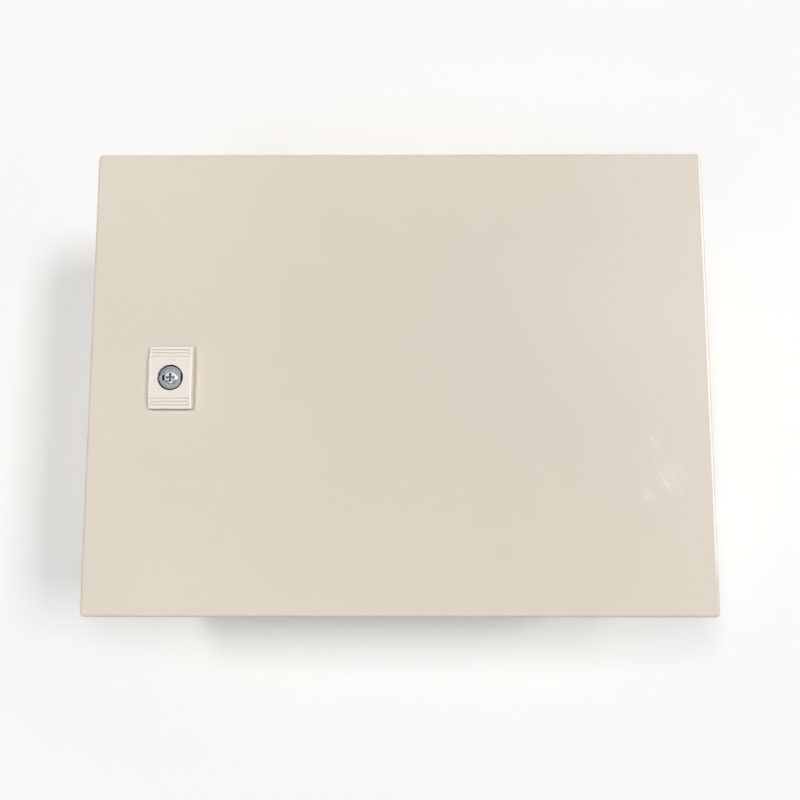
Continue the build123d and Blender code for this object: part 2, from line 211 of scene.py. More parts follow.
def spread(tree, value, low, high, to_low, to_high):
    # A value carried from one range to another and held at the ends
    made = node(tree, "MapRange", Value=value, From_Min=low, From_Max=high, To_Min=to_low, To_Max=to_high)
    return made.outputs[0]


def blend(tree, factor, first, second, how="MIX"):
    made = tree.nodes.new("ShaderNodeMix")
    made.data_type = "RGBA"
    made.blend_type = how
    for socket, value in ((made.inputs[0], factor), (made.inputs[6], first), (made.inputs[7], second)):
        plug(tree, socket, value)
    return made.outputs[2]


def toned(tree, colour, tone):
    # A colour made lighter or darker by a value
    grey = node(tree, "CombineColor", Red=tone, Green=tone, Blue=tone).outputs[0]
    return blend(tree, 1.0, colour, grey, "MULTIPLY")


def dress(tree, shader, colour, roughness, height=None, strength=0.0, distance=0.0):
    # The shader's colour, its roughness and the relief of its surface
    feed(tree, shader, Base_Color=colour, Roughness=roughness)
    if height is not None:
        bump = node(tree, "Bump", Strength=strength, Distance=distance, Height=height)
        feed(tree, shader, Normal=bump.outputs[0])


def new_group(name, inputs, outputs):
    group = bpy.data.node_groups.new(name, "ShaderNodeTree")
    for label, kind, value in inputs:
        socket = group.interface.new_socket(label, in_out="INPUT", socket_type="NodeSocket" + kind)
        if value is not None:
            socket.default_value = value
    for label, kind in outputs:
        group.interface.new_socket(label, in_out="OUTPUT", socket_type="NodeSocket" + kind)
    return group, group.nodes.new("NodeGroupInput").outputs, group.nodes.new("NodeGroupOutput").inputs


def use(tree, group, **inputs):
    made = tree.nodes.new("ShaderNodeGroup")
    made.node_tree = group
    return feed(tree, made, **inputs).outputs


# Powder texture: the orange peel and fine grain of the cured coat, and its slow drift in tone across a panel
powder_texture, given, result = new_group(
    "powder texture", [("Place", "Vector", None)],
    [("Height", "Float"), ("Tone", "Float"), ("Grain", "Float")])
peel = node(powder_texture, "TexNoise", Vector=given["Place"], Scale=620.0, Detail=2.0, Roughness=0.45)
pimples = node(powder_texture, "TexVoronoi", Vector=given["Place"], Scale=760.0)
grain = node(powder_texture, "TexNoise", Vector=given["Place"], Scale=1500.0, Detail=1.0)
slow = node(powder_texture, "TexNoise", Vector=given["Place"], Scale=5.5, Detail=3.0, Roughness=0.55)
cloud = node(powder_texture, "TexNoise", Vector=given["Place"], Scale=48.0, Detail=4.0, Roughness=0.6)
bead = spread(powder_texture, pimples.outputs["Distance"], 0.05, 0.65, 1.0, 0.0)
height = sums(powder_texture, "MULTIPLY_ADD", bead, 0.35, peel.outputs[0])
drift = spread(powder_texture, slow.outputs[0], 0.3, 0.7, 0.0, 0.75)
tone = sums(powder_texture, "MULTIPLY_ADD", cloud.outputs[0], 0.25, drift)
powder_texture.links.new(height, result["Height"])
powder_texture.links.new(tone, result["Tone"])
powder_texture.links.new(grain.outputs[0], result["Grain"])

beige = (0.728, 0.668, 0.580, 1.0)
beige_shade = (0.703, 0.642, 0.555, 1.0)


def powder_coat(name):
    # Beige textured powder: satin, with a little sparkle lost in the grain
    made, tree, shader, place = finish(name)
    texture = use(tree, powder_texture, Place=place)
    colour = blend(tree, texture["Tone"], beige_shade, beige)
    colour = toned(tree, colour, spread(tree, texture["Grain"], 0.30, 0.72, 0.965, 1.03))
    satin = spread(tree, texture["Tone"], 0.0, 1.0, 0.52, 0.45)
    dress(tree, shader, colour, satin, texture["Height"], 0.22, 0.00022)
    shader.inputs["Specular IOR Level"].default_value = 0.42
    return made, tree, shader, place, colour


def open_back(piece, sheet):
    # A solid form becomes bent sheet, open towards the wall
    pick(piece, "FACE", lambda face: face.normal.y > 0.999)
    bpy.ops.mesh.delete(type="FACE")
    done_editing()
    work(piece, "SOLIDIFY", thickness=sheet, offset=-1.0, use_even_offset=True)


body_coat = powder_coat("beige_powder_body")[0]
y_axis = 1
z_axis = 2
body_sheet = 1.2 * mm
body_corner = 4 * mm
body_bend = 2 * mm
wrap_fold = 5 * mm
entry_margin = 15 * mm
window_corner = 6 * mm
overrun = 2 * mm

wrap_low, wrap_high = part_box("body_wrap")
wrap = rounded_block("body_wrap_folded", wrap_low, wrap_high, y_axis, body_corner, 7)
round_edges(wrap, lies_at(y_axis, wrap_low.y), body_bend, 5)
open_back(wrap, body_sheet)
cut(wrap, rounded_block("rim_opening", wrap_low + Vector((wrap_fold, -overrun, wrap_fold)),
                        (wrap_high.x - wrap_fold, wrap_low.y + 2 * overrun, wrap_high.z - wrap_fold),
                        y_axis, body_corner))
gland_low, gland_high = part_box("gland_plate")
cut(wrap, rounded_block("window_punch",
                        (gland_low.x + entry_margin, gland_low.y + entry_margin, wrap_low.z - overrun),
                        (gland_high.x - entry_margin, gland_high.y - entry_margin, wrap_low.z + overrun),
                        z_axis, window_corner))
soften(wrap, 0.15 * mm, 2, 50)
fit(wrap, "enclosure", body_coat, "body_wrap")


# Front rim
# Flat steel frame welded flush into the wrap's fold. Its inner edge stands forward as the sealing lip that
# presses into the door's gasket, and the channel outside the lip drains rain past the opening.

def drill(radius, start, end, sides=48):
    # Round tool between two points
    bpy.ops.object.select_all(action="DESELECT")
    run = Vector(end) - Vector(start)
    bpy.ops.mesh.primitive_cylinder_add(vertices=sides, radius=radius, depth=run.length,
                                        location=(Vector(start) + Vector(end)) / 2,
                                        rotation=run.to_track_quat("Z", "Y").to_euler())
    return settle("drill")


def push(distance):
    # Selected faces extruded towards the wall
    bpy.ops.mesh.extrude_region_move(TRANSFORM_OT_translate={"value": (0, distance, 0)})


lip_bend = 1.8 * mm
lip_corner = 8 * mm
rim_width = 20 * mm
screw_x = 188.5 * mm
screw_side = 14 * mm
screw_hole = 2.2 * mm
hinges = ("upper", "lower")

rim_low, rim_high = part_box("front_rim")
lip_low = Vector((wrap_low.x + rim_width, rim_low.y, wrap_low.z + rim_width))
lip_high = Vector((wrap_high.x - rim_width, rim_high.y, wrap_high.z - rim_width))
rim = rounded_block("front_rim_frame", (rim_low.x, rim_high.y - body_sheet, rim_low.z), rim_high,
                    y_axis, body_corner)
cut(rim, rounded_block("lip_stock", lip_low, lip_high, y_axis, lip_corner, 8), "UNION")
mouth = rounded_block("mouth_punch", lip_low + Vector((body_sheet, -overrun, body_sheet)),
                      lip_high - Vector((body_sheet, lip_bend, body_sheet)),
                      y_axis, lip_corner - body_sheet, 8)
bend = [math.radians(turn) for turn in (0, 22.5, 45, 67.5, 90)]
for before, turn in zip(bend, bend[1:]):
    flare = lip_bend * (math.cos(before) - math.cos(turn))
    pick(mouth, "FACE", lambda face: face.normal.y > 0.999)
    push(lip_bend * (math.sin(turn) - math.sin(before)))
    bpy.ops.transform.resize(value=(1 + flare / lip_high.x, 1, 1 + flare / lip_high.z),
                             center_override=(0, 0, 0))
    done_editing()
pick(mouth, "FACE", lambda face: face.normal.y > 0.999)
push(overrun)
done_editing()
cut(rim, mouth)
for hinge in hinges:
    bracket_low, bracket_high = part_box(hinge + "_hinge_bracket")
    for side in (-screw_side, screw_side):
        z = (bracket_low.z + bracket_high.z) / 2 + side
        cut(rim, drill(screw_hole, (screw_x, rim_high.y - body_sheet - overrun, z),
                       (screw_x, rim_high.y + overrun, z), 24))
soften(rim, 0.25 * mm, 2, 50)
fit(rim, "enclosure", body_coat, "front_rim")


# Back panel
# Flat sheet let into the rear edge of the wrap and seam-welded, with a plain hole near each corner for the
# wall screws. The weld round it is ground almost flat and coated over.

def corners(x, z):
    return [(side * x, end * z) for side in (-1, 1) for end in (-1, 1)]


wall_hole = 4.25 * mm
wall_x = 170 * mm
wall_z = 120 * mm

panel_low, panel_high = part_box("back_panel")
panel = rounded_block("back_panel_sheet", panel_low, panel_high, y_axis, 2.7 * mm)
for x, z in corners(wall_x, wall_z):
    cut(panel, drill(wall_hole, (x, panel_low.y - overrun, z), (x, panel_high.y + overrun, z)))
soften(panel, 0.3 * mm, 2, 50)
fit(panel, "enclosure", body_coat, "back_panel")


# Mounting plate studs and spacers
# Copper-flashed M8 studs are drawn-arc welded to the back panel, and a black moulded sleeve over each one
# holds the mounting plate clear of the panel.

def drawn_line(name, points):
    # A line through points, left in edit mode with all of it selected
    bpy.ops.object.select_all(action="DESELECT")
    bpy.ops.mesh.primitive_plane_add(size=mm, location=(0, 0, 0))
    piece = settle(name)
    bpy.ops.object.mode_set(mode="EDIT")
    bpy.ops.mesh.select_mode(type="VERT")
    bpy.ops.mesh.select_all(action="SELECT")
    bpy.ops.mesh.merge(type="CENTER")
    bpy.ops.transform.translate(value=points[0])
    for here, there in zip(points, points[1:]):
        bpy.ops.mesh.extrude_vertices_move(TRANSFORM_OT_translate={"value": there - here})
    bpy.ops.mesh.select_all(action="SELECT")
    return piece


def turned(name, section, centre, along, steps=48):
    # Half section drawn point by point as radius and distance in millimetres, then spun about its axis
    axis = Vector(along)
    side = Vector((0, 0, 1)) if abs(axis.z) < 0.5 else Vector((1, 0, 0))
    points = [Vector(centre) + side * radius * mm + axis * distance * mm for radius, distance in section]
    piece = drawn_line(name, points)
    bpy.ops.mesh.spin(steps=steps, angle=2 * math.pi, center=centre, axis=axis)
    bpy.ops.mesh.select_all(action="SELECT")
    bpy.ops.mesh.remove_doubles(threshold=1e-6)
    bpy.ops.mesh.normals_make_consistent(inside=False)
    done_editing()
    return piece


def join(first, *others):
    bpy.ops.object.select_all(action="DESELECT")
    for item in (first, *others):
        item.select_set(True)
    bpy.context.view_layer.objects.active = first
    bpy.ops.object.join()


def repeat(piece, moves):
    # Copies of one finished piece at their places, joined with it as one group
    copies = []
    for move in moves:
        choose(piece)
        bpy.ops.object.duplicate()
        bpy.ops.transform.translate(value=move)
        bpy.ops.object.transform_apply(location=True, rotation=True, scale=True)
        copies.append(bpy.context.object)
    join(piece, *copies)


def threaded(radius, pitch, length):
    # Stud section with its thread cut down from the tip, from the root on the axis to the tip on the axis
    section = [(0, 0), (radius, 0), (radius, 1.5 * pitch)]
    turns = int((length - 3 * pitch) / pitch)
    for turn in range(turns):
        start = 1.5 * pitch + turn * pitch
        section += [(radius - 0.6 * pitch, start + 0.5 * pitch), (radius, start + pitch)]
    section += [(radius - 0.62 * pitch, length), (0, length)]
    return section


# Shop marks: the fine smears, rub lines and dull patches that handled bare metal carries
shop_marks, given, result = new_group(
    "shop marks", [("Place", "Vector", None), ("Size", "Float", 300.0)],
    [("Dull", "Float"), ("Lines", "Float")])
smear = node(shop_marks, "TexNoise", Vector=given["Place"], Scale=given["Size"], Detail=4.0, Roughness=0.6)
stretched = node(shop_marks, "Mapping", Vector=given["Place"], Scale=(40.0, 900.0, 900.0))
rubbed = node(shop_marks, "TexNoise", Vector=stretched.outputs[0], Scale=1.0, Detail=2.0)
shop_marks.links.new(spread(shop_marks, smear.outputs[0], 0.3, 0.7, 0.0, 1.0), result["Dull"])
shop_marks.links.new(spread(shop_marks, rubbed.outputs[0], 0.35, 0.65, 0.0, 1.0), result["Lines"])


def bare_metal(name, bright, dull, smooth, rough, size, dents, soil_and_shade_mask=None, soil_and_shade=None):
    # Plated or cast metal between a bright and a dulled state, with soil and painted shade where a mask puts
    # it
    made, tree, shader, place = finish(name)
    marks = use(tree, shop_marks, Place=place, Size=size)
    colour = blend(tree, marks["Dull"], bright, dull)
    if soil_and_shade_mask:
        colour = blend(tree, soil_and_shade_mask(tree, place), colour, soil_and_shade)
    worn = sums(tree, "MULTIPLY_ADD", marks["Lines"], 0.25, marks["Dull"])
    dress(tree, shader, colour, spread(tree, worn, 0.0, 1.2, smooth, rough), worn, 0.25, dents)
    shader.inputs["Metallic"].default_value = 1.0
    return made


coppered = bare_metal("coppered_stud", (0.74, 0.42, 0.28, 1), (0.48, 0.25, 0.16, 1), 0.26, 0.5,
                      420.0, 0.00006)
m8_radius = 4.0
m8_pitch = 1.25

stud_low, stud_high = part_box("plate_studs")
stud_x = stud_high.x - m8_radius * mm
stud_z = stud_high.z - m8_radius * mm
stud_moves = [(-2 * stud_x, 0, 0), (0, 0, -2 * stud_z), (-2 * stud_x, 0, -2 * stud_z)]
stud = turned("mounting_studs", threaded(m8_radius, m8_pitch, (stud_high.y - stud_low.y) / mm),
              (stud_x, stud_high.y, stud_z), (0, -1, 0), 36)
soften(stud)
repeat(stud, stud_moves)
fit(stud, "enclosure", coppered, "plate_studs")

black_moulding, tree, shader, place = finish("black_moulding")
mould_skin = node(tree, "TexNoise", Vector=place, Scale=900.0, Detail=3.0).outputs[0]
dress(tree, shader, blend(tree, mould_skin, (0.012, 0.012, 0.013, 1), (0.032, 0.032, 0.034, 1)),
      spread(tree, mould_skin, 0.3, 0.7, 0.42, 0.6))

spacer_outer = 7
spacer_bore = 4.2
spacer_low, spacer_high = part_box("plate_spacers")
spacer_length = (spacer_high.y - spacer_low.y) / mm
spacer = turned("plate_sleeves", [(spacer_bore, 0), (spacer_outer, 0), (spacer_outer, spacer_length),
                                  (spacer_bore, spacer_length), (spacer_bore, 0)],
                (stud_x, spacer_high.y, stud_z), (0, -1, 0))
soften(spacer, 0.5 * mm, 3)
repeat(spacer, stud_moves)
fit(spacer, "enclosure", black_moulding, "plate_spacers")


# Mounting plate
# A flat 2 mm plate of hot-dip galvanised steel that carries the equipment, with a clearance hole at each
# stud. The zinc has frozen in dull and bright crystals.

galvanised, tree, shader, place = finish("galvanised_spangle")
crystal = node(tree, "TexVoronoi", Vector=place, Scale=150.0, Randomness=1.0)
facet = node(tree, "SeparateColor", Color=crystal.outputs["Color"]).outputs
marks = use(tree, shop_marks, Place=place, Size=60.0)
zinc = blend(tree, facet[0], (0.45, 0.47, 0.49, 1), (0.64, 0.66, 0.68, 1))
dulled = sums(tree, "MULTIPLY_ADD", marks["Dull"], 0.5, facet[1])
dress(tree, shader, zinc, spread(tree, dulled, 0.0, 1.5, 0.4, 0.62), facet[2], 0.15, 0.0001)
shader.inputs["Metallic"].default_value = 1.0

plate_low, plate_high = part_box("mounting_plate")
plate = rounded_block("mounting_plate_sheet", plate_low, plate_high, y_axis, 6 * mm)
for x, z in corners(stud_x, stud_z):
    cut(plate, drill(4.4 * mm, (x, plate_low.y - overrun, z), (x, plate_high.y + overrun, z)))
soften(plate, 0.25 * mm, 2, 50)
fit(plate, "enclosure", galvanised, "mounting_plate")


# Mounting plate washers and nuts
# Zinc-plated M8 washers and hexagon nuts clamp the plate on its studs.

def washer(name, outer, inner, thickness, centre, along):
    section = [(inner, 0), (outer, 0), (outer, thickness), (inner, thickness), (inner, 0)]
    piece = turned(name, section, centre, along)
    soften(piece, 0.15 * mm, 2)
    return piece


def hex_nut(name, across, bore, height, centre, along, turn=0.0):
    # Hexagon bar, chamfered at both ends by turning, then bored with a small lead-in
    run = Vector(along)
    corner = across / math.sqrt(3)
    bevel = (corner - across / 2) * 0.6
    face = corner - 1.75 * bevel
    edge = corner + 0.02
    lead = bore + 0.5
    bpy.ops.object.select_all(action="DESELECT")
    bpy.ops.mesh.primitive_cylinder_add(vertices=6, radius=corner * mm, depth=height * mm,
                                        location=Vector(centre) + run * height * mm / 2,
                                        rotation=run.to_track_quat("Z", "Y").to_euler())
    bpy.context.object.rotation_euler.rotate_axis("Z", turn)
    piece = settle(name)
    lathe = turned("nut_lathe", [(0, -0.01), (face, -0.01), (edge, bevel), (edge, height - bevel),
                                 (face, height + 0.01), (0, height + 0.01)], centre, along, 60)
    cut(piece, lathe, "INTERSECT")
    reamer = turned("nut_reamer", [(0, -1), (lead, -1), (lead, 0.15), (bore, 0.6), (bore, height - 0.6),
                                   (lead, height - 0.15), (lead, height + 1), (0, height + 1)],
                    centre, along)
    cut(piece, reamer)
    soften(piece, 0.12 * mm, 2, 25)
    return piece


plated = ((0.78, 0.84, 0.86, 1), (0.62, 0.69, 0.72, 1), 0.18, 0.34, 900.0, 0.00004)
zinc_plate = bare_metal("zinc_plate", *plated)
m8_washer = 8.0
m8_washer_height = 1.6
m8_nut = 13.0
m8_nut_height = 6.5
washer_fit = 0.2
thread_fit = 0.05

washers = washer("mounting_washers", m8_washer, m8_radius + washer_fit, m8_washer_height,
                 (stud_x, plate_low.y, stud_z), (0, -1, 0))
repeat(washers, stud_moves)
fit(washers, "enclosure", zinc_plate, "plate_washers")
nuts = hex_nut("mounting_nuts", m8_nut, m8_radius + thread_fit, m8_nut_height,
               (stud_x, plate_low.y - m8_washer_height * mm, stud_z), (0, -1, 0))
repeat(nuts, stud_moves)
fit(nuts, "enclosure", zinc_plate, "plate_nuts")


# Cable-entry plate
# A blank galvanised plate over the window in the bottom wall, drilled on site for cable glands. It sits on a
# black rubber gasket inside the wall and is held by studs and nuts round its edge.

black_rubber, tree, shader, place = finish("black_rubber")
bloom = node(tree, "TexNoise", Vector=place, Scale=160.0, Detail=5.0, Roughness=0.65).outputs[0]
dress(tree, shader, blend(tree, bloom, (0.014, 0.014, 0.015, 1), (0.05, 0.05, 0.052, 1)),
      spread(tree, bloom, 0.3, 0.7, 0.6, 0.85))
m6_radius = 3.0
m6_pitch = 1.0
m6_nut = 10.0
m6_nut_height = 5.0

gland = rounded_block("cable_entry_plate", gland_low, gland_high, z_axis, 6 * mm)
gland_studs_low, gland_studs_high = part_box("gland_plate_studs")
gland_x = gland_studs_high.x - m6_radius * mm
gland_front = gland_studs_low.y + m6_radius * mm
gland_back = gland_studs_high.y - m6_radius * mm
for x in (-gland_x, 0, gland_x):
    for y in (gland_front, gland_back):
        cut(gland, drill(3.4 * mm, (x, y, gland_low.z - overrun), (x, y, gland_high.z + overrun)))
soften(gland, 0.25 * mm, 2, 50)
fit(gland, "enclosure", galvanised, "gland_plate")
gland_moves = [(x, y, 0) for x in (0, -gland_x, -2 * gland_x) for y in (0, gland_back - gland_front)][1:]
gland_length = (gland_studs_high.z - gland_studs_low.z) / mm
gland_stud = turned("gland_studs", threaded(m6_radius, m6_pitch, gland_length),
                    (gland_x, gland_front, gland_studs_low.z), (0, 0, 1), 32)
soften(gland_stud)
repeat(gland_stud, gland_moves)
fit(gland_stud, "enclosure", coppered, "gland_plate_studs")
gland_nuts = hex_nut("gland_nuts", m6_nut, m6_radius + thread_fit, m6_nut_height,
                     (gland_x, gland_front, gland_high.z), (0, 0, 1))
repeat(gland_nuts, gland_moves)
fit(gland_nuts, "enclosure", zinc_plate, "gland_plate_nuts")
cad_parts["gland_plate_gasket"].data.materials[0] = black_rubber


# Body earth stud
# Copper-flashed M8 stud welded inside the right wall, with a plated washer and nut for the protective earth.

def earth_point(where, body, seat, along, length, radius, pitch,
                disc, disc_height, across, nut_height, steps):
    # Stud with its washer and nut, on a body's inner face
    stud = turned(where + "_earth", threaded(radius, pitch, length), seat, along, steps)
    soften(stud)
    fit(stud, body, coppered, where + "_earth_stud")
    ring = washer(where + "_earth_disc", disc, radius + washer_fit, disc_height, seat, along)
    fit(ring, body, zinc_plate, where + "_earth_washer")
    nut_seat = seat + Vector(along) * disc_height * mm
    hexagon = hex_nut(where + "_earth_hexagon", across, radius + thread_fit, nut_height, nut_seat, along)
    fit(hexagon, body, zinc_plate, where + "_earth_nut")


earth_low, earth_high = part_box("body_earth_stud")
earth_seat = Vector((earth_high.x, (earth_low.y + earth_high.y) / 2, (earth_low.z + earth_high.z) / 2))
earth_point("body", "enclosure", earth_seat, (-1, 0, 0), (earth_high.x - earth_low.x) / mm,
            m8_radius, m8_pitch, m8_washer, m8_washer_height, m8_nut, m8_nut_height, 36)


# Hinges
# Die-cast zinc brackets stand in the channel on the hinge side, each screwed to the rim from inside, with a
# plated steel pin dropped through their ears. A cast leaf welded inside the door turns on each pin.

casting = ((0.52, 0.50, 0.54, 1), (0.39, 0.375, 0.41, 1), 0.30, 0.46, 900.0, 0.00005)
die_cast = bare_metal("die_cast_zinc", *casting)


def bar(name, outline, centre, bottom, top):
    # Upright bar: its section drawn about a centre in millimetres, then extruded from bottom to top
    points = [Vector((centre.x + x * mm, centre.y + y * mm, bottom)) for x, y in outline]
    piece = drawn_line(name, points + points[:1])
    bpy.ops.mesh.remove_doubles(threshold=1e-6)
    bpy.ops.mesh.edge_face_add()
    bpy.ops.mesh.extrude_region_move(TRANSFORM_OT_translate={"value": (0, 0, top - bottom)})
    bpy.ops.mesh.select_all(action="SELECT")
    bpy.ops.mesh.normals_make_consistent(inside=False)
    done_editing()
    return piece


def cross_recess(piece, crown, facing, reach, half, depth):
    # Cross cut into the crown of a screw that faces one way along y, tapered in length and width
    front, back = sorted((crown.y + facing * 1 * mm, crown.y - facing * depth))
    for half_x, half_z, taper_x, taper_z in ((reach, half, 0.72, 0.8), (half, reach, 0.8, 0.72)):
        arm = blank("cross_arm", (crown.x - half_x, front, crown.z - half_z),
                    (crown.x + half_x, back, crown.z + half_z))
        pick(arm, "FACE", lambda face: face.normal.y * facing < -0.99)
        bpy.ops.transform.resize(value=(taper_x, 1, taper_z), center_override=crown)
        done_editing()
        cut(piece, arm)


def pan_screw(name, radius, head, shank, length, crown):
    # Pan-head screw with its cross-recessed crown towards the wall
    dome = [(0, 0), (0.47 * radius, 0.03), (0.70 * radius, 0.12 * head), (0.89 * radius, 0.37 * head),
            (radius, 0.67 * head), (radius, head)]
    piece = turned(name, dome + [(shank, head), (shank, length), (0, length)], crown, (0, -1, 0), 40)
    cross_recess(piece, crown, 1, 0.62 * radius * mm, 0.16 * radius * mm, 0.6 * head * mm)
    soften(piece, 0.08 * mm, 2, 35)
    return piece


eye_radius = 4.4
eye_end = -math.radians(182.7)
ear_gap = 10.3 * mm
ear_end = 18.3 * mm
neck_right = 0.95
neck_turn = math.acos(neck_right / eye_radius)
base_left = -10.0
base_depth = 3.0
screw_bore = 2.05 * mm
bore_depth = 6 * mm
screw_from_pin = 5 * mm
foot_left = -7.6
foot_right = 3.8
foot_depth = 2.2
web = 3.0
pin_bore = 2.55 * mm
pin_radius = 2.5
pin_head = 3.74
pin_head_height = 1.6

turns = [neck_turn + (eye_end - neck_turn) * step / 36 for step in range(37)]
eye = [(eye_radius * math.cos(turn), eye_radius * math.sin(turn)) for turn in turns]
for hinge in hinges:
    bracket_low, bracket_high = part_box(hinge + "_hinge_bracket")
    leaf_low, leaf_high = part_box(hinge + "_hinge_leaf")
    pin_low, pin_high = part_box(hinge + "_hinge_pin")
    axis = (pin_low + pin_high) / 2
    axis.z = (bracket_low.z + bracket_high.z) / 2
    to_rim = (bracket_high.y - axis.y) / mm
    base_front = to_rim - base_depth
    base = [(base_left, base_front), (neck_right, base_front), (neck_right, to_rim), (base_left, to_rim)]
    bracket = bar(hinge + "_bracket_casting", base, axis, bracket_low.z, bracket_high.z)
    ear_outline = eye + [(base_left, base_front), (base_left, to_rim), (neck_right, to_rim)]
    for bottom, top in ((axis.z + ear_gap, axis.z + ear_end), (axis.z - ear_end, axis.z - ear_gap)):
        cut(bracket, bar("ear", ear_outline, axis, bottom, top), "UNION")
    cut(bracket, drill(pin_bore, (axis.x, axis.y, bracket_low.z), (axis.x, axis.y, bracket_high.z)))
    for side in (-screw_side, screw_side):
        hole = Vector((axis.x - screw_from_pin, bracket_high.y, axis.z + side))
        cut(bracket, drill(screw_bore, hole + Vector((0, overrun, 0)),
                           hole - Vector((0, bore_depth, 0)), 24))
    soften(bracket, 0.35 * mm, 2, 40)
    fit(bracket, "enclosure", die_cast, hinge + "_hinge_bracket")

    panel_back = (leaf_low.y - axis.y) / mm
    foot_front = panel_back + foot_depth
    leaf_outline = [(foot_left, panel_back), (foot_right, panel_back), (foot_right, foot_front),
                    (web, foot_front), (web, 0), (-web, 0), (-web, foot_front), (foot_left, foot_front)]
    leaf = bar(hinge + "_leaf_casting", leaf_outline, axis, leaf_low.z, leaf_high.z)
    leaf_bottom = Vector((axis.x, axis.y, leaf_low.z))
    leaf_top = Vector((axis.x, axis.y, leaf_high.z))
    past_end = Vector((0, 0, overrun))
    cut(leaf, drill(eye_radius * mm, leaf_bottom, leaf_top), "UNION")
    cut(leaf, drill(pin_bore, leaf_bottom - past_end, leaf_top + past_end))
    soften(leaf, 0.3 * mm, 2, 40)
    fit(leaf, "door", die_cast, hinge + "_hinge_leaf")

    pin_length = (pin_high.z - pin_low.z) / mm
    under_head = pin_length - pin_head_height
    pin_section = [(0, 0), (2.1, 0), (pin_radius, 0.4), (pin_radius, under_head), (pin_head, under_head),
                   (pin_head, pin_length - 0.8), (2.94, pin_length), (0, pin_length)]
    pin = turned(hinge + "_pin_turned", pin_section, (axis.x, axis.y, pin_low.z), (0, 0, 1), 40)
    soften(pin, 0.1 * mm, 2)
    fit(pin, "enclosure", zinc_plate, hinge + "_hinge_pin")

screw_head = 3.6
screw_pair = 2 * screw_side
screws_low, screws_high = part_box("hinge_screws")
first_screw = Vector(((screws_low.x + screws_high.x) / 2, screws_high.y, screws_high.z - screw_head * mm))
to_last = -2 * first_screw.z
screw_length = (screws_high.y - screws_low.y) / mm
hinge_screw = pan_screw("bracket_screws", screw_head, 2.6, 2.0, screw_length, first_screw)
repeat(hinge_screw, [(0, 0, -screw_pair), (0, 0, to_last + screw_pair), (0, 0, to_last)])
fit(hinge_screw, "enclosure", zinc_plate, "hinge_screws")


# Door panel
# 1.5 mm steel sheet folded back on all four sides, corners welded and ground round, notched behind for the
# hinges and pierced for the lock. Coated with the body, its face has a few pale rubs on the hinge side.

def vectors(tree, operation, first, second=None):
    made = tree.nodes.new("ShaderNodeVectorMath")
    made.operation = operation
    tree.links.new(first, made.inputs[0])
    if second is not None:
        tree.links.new(second, made.inputs[1])
    return made


def reach_of(tree, place):
    # Distance from the origin
    return vectors(tree, "LENGTH", place).outputs["Value"]


# Rub line: one thin mark on the door's face between two points, fading at its ends
rub_line, given, result = new_group(
    "rub line", [("Place", "Vector", None), ("Start", "Vector", (0, 0, 0)), ("End", "Vector", (0, 0, 0.01)),
                 ("Width", "Float", 0.0005)], [("Mask", "Float")])
jitter = node(rub_line, "TexNoise", Vector=given["Place"], Scale=420.0, Detail=3.0)
breaks = node(rub_line, "TexNoise", Vector=given["Place"], Scale=950.0, Detail=2.0, Roughness=0.6)
run = vectors(rub_line, "SUBTRACT", given["End"], given["Start"]).outputs[0]
away = vectors(rub_line, "SUBTRACT", given["Place"], given["Start"]).outputs[0]
along = sums(rub_line, "DIVIDE", vectors(rub_line, "DOT_PRODUCT", away, run).outputs["Value"],
             vectors(rub_line, "DOT_PRODUCT", run, run).outputs["Value"])
held = sums(rub_line, "MINIMUM", either(rub_line, along, 0.0), 1.0)
nearest = feed(rub_line, vectors(rub_line, "SCALE", run), Scale=held).outputs[0]
gap = vectors(rub_line, "DISTANCE", away, nearest).outputs["Value"]
ragged = both(rub_line, given["Width"], sums(rub_line, "ADD", jitter.outputs[0], 0.3))
edge = spread(rub_line, sums(rub_line, "DIVIDE", gap, ragged), 0.3, 1.0, 1.0, 0.0)
kept = spread(rub_line, breaks.outputs[0], 0.44, 0.56, 0.06, 1.0)
rub_line.links.new(both(rub_line, edge, kept), result["Mask"])

door_coat, tree, shader, place, colour = powder_coat("beige_powder_door")
door_low, door_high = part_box("door_panel")
door_sheet = 1.5 * mm
door_bend = 2.5 * mm
rubs = 0.0
for start, end, width, strength in (
        ((158.8, -35.5), (164.0, -43.5), 0.55, 0.75), ((164.0, -43.5), (169.6, -51.6), 0.50, 0.50),
        ((169.6, -51.6), (177.6, -73.2), 0.45, 0.40), ((173.0, -60.0), (175.5, -70.0), 0.40, 0.35),
        ((160.8, -50.4), (165.4, -61.5), 0.60, 0.75), ((165.4, -61.5), (170.2, -69.5), 0.80, 0.75),
        ((167.8, -60.0), (170.0, -64.5), 0.60, 0.55), ((170.2, -69.5), (173.8, -75.0), 0.60, 0.30),
        ((155.7, -68.9), (161.1, -77.5), 0.55, 0.65), ((153.8, -71.0), (156.6, -79.0), 0.45, 0.30),
        ((132.4, -67.7), (134.1, -75.0), 0.50, 0.40), ((151.7, -76.9), (153.5, -79.9), 0.70, 0.35),
        ((167.0, -65.0), (169.6, -68.0), 2.60, 0.35), ((155.0, -75.0), (157.5, -78.5), 2.60, 0.16),
        ((176.0, -52.0), (181.0, -60.0), 1.80, 0.14)):
    line = use(tree, rub_line, Place=place, Start=(start[0] * mm, door_low.y, start[1] * mm),
               End=(end[0] * mm, door_low.y, end[1] * mm), Width=width * mm)["Mask"]
    rubs = either(tree, rubs, both(tree, line, strength))
scuffed = 0.0
for middle, reach, strength in (((172.0, -62.0), (13.0, 16.0), 0.75), ((157.0, -75.0), (7.0, 7.0), 0.75),
                                ((163.0, -40.0), (9.0, 8.0), 0.45)):
    patch = node(tree, "Mapping", Vector=place, Location=(-middle[0] / reach[0], 0.0, -middle[1] / reach[1]),
                 Scale=(1 / (reach[0] * mm), 0.0, 1 / (reach[1] * mm))).outputs[0]
    scuffed = either(tree, scuffed, spread(tree, reach_of(tree, patch), 0.2, 1.0, strength, 0.0))
dots = node(tree, "TexNoise", Vector=place, Scale=1700.0, Detail=1.0)
